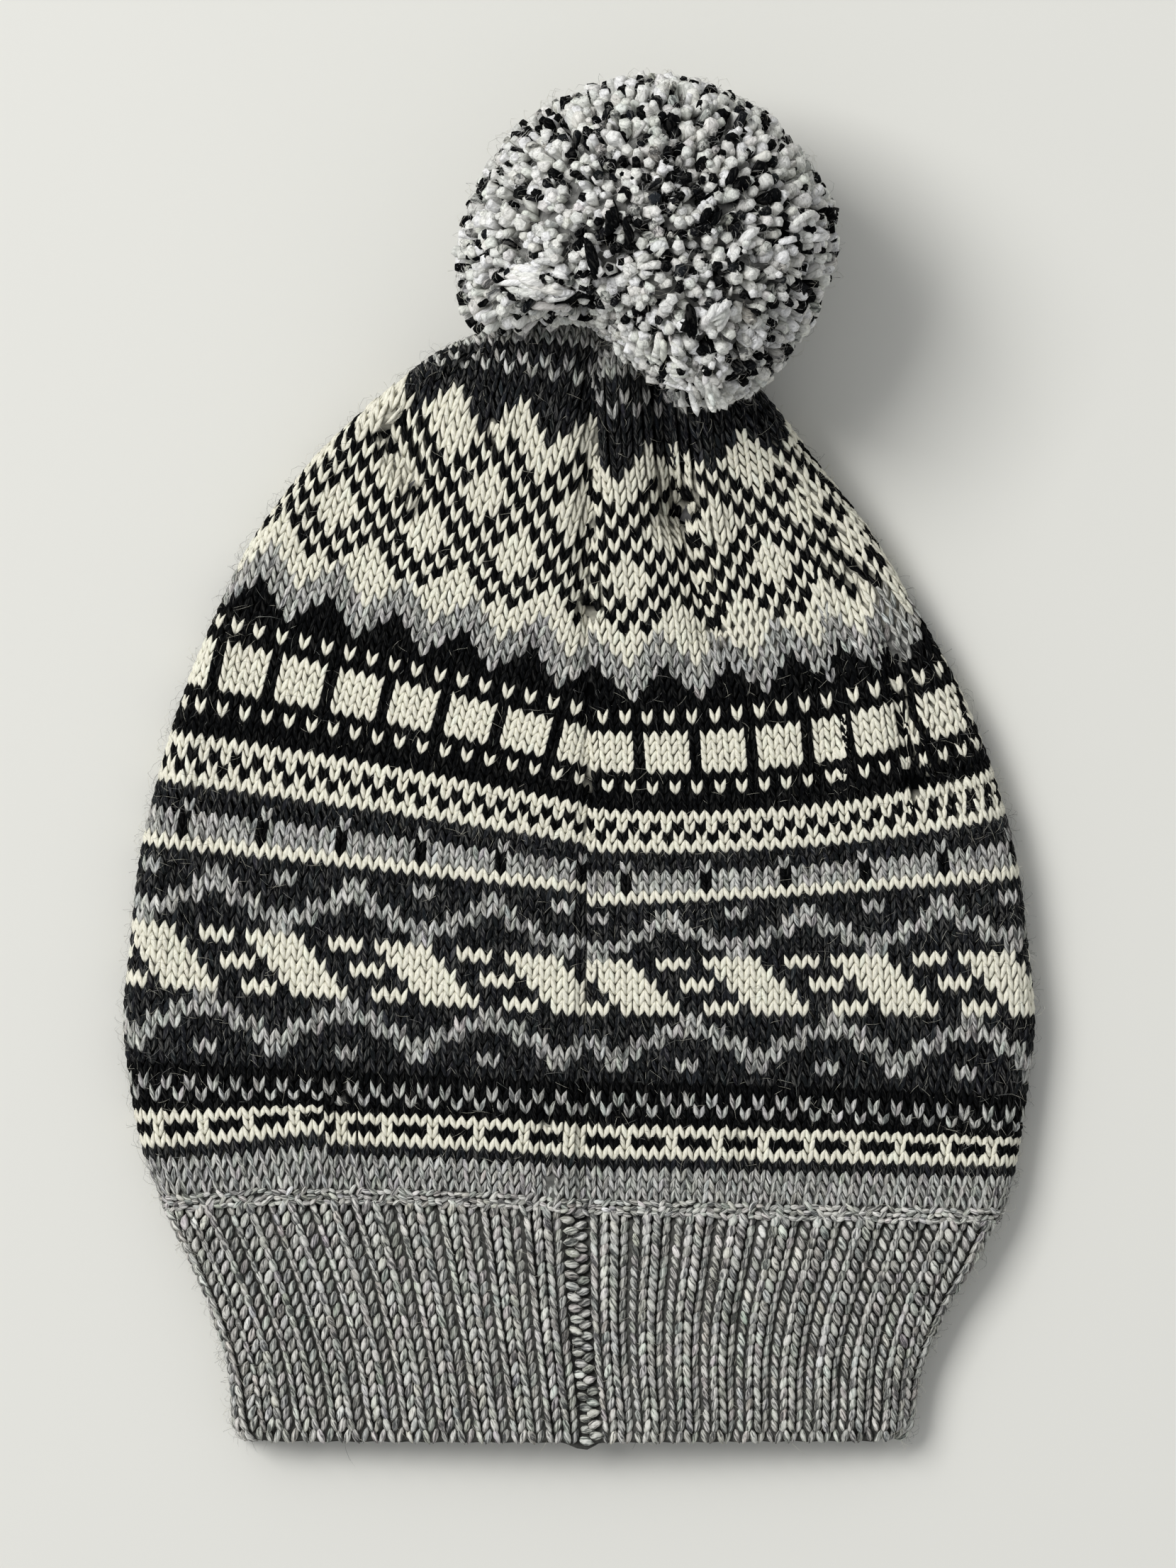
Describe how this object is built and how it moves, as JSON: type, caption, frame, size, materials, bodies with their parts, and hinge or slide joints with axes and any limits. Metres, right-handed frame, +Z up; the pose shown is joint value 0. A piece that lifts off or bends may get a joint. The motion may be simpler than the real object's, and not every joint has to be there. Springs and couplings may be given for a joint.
{
  "type": "knitted bobble hat",
  "caption": "Slouchy knitted hat with a patterned body, a ribbed band and a yarn pompom, laid flat on its lower layer.",
  "frame": {"origin": "on the surface that the hat lies on, in the middle of its whole length and width", "axes": "+X across the hat, +Y from the hem to the pompom, +Z up out of the back layer with its seam"},
  "size_m": [0.2512, 0.3781, 0.092],
  "materials": {
    "patterned_knit": "stockinette in cream, light grey, charcoal and black wool, matt and slightly hairy",
    "rib_knit": "ribbed knit in mid grey marl wool, matt and slightly hairy",
    "pompom_yarn": "chopped cream, grey and black yarn ends, matt and fluffy"
  },
  "bodies": {
    "root": {"knit_body": "patterned_knit", "rib_band": "rib_knit", "pompom": "pompom_yarn"}
  },
  "joints": []
}
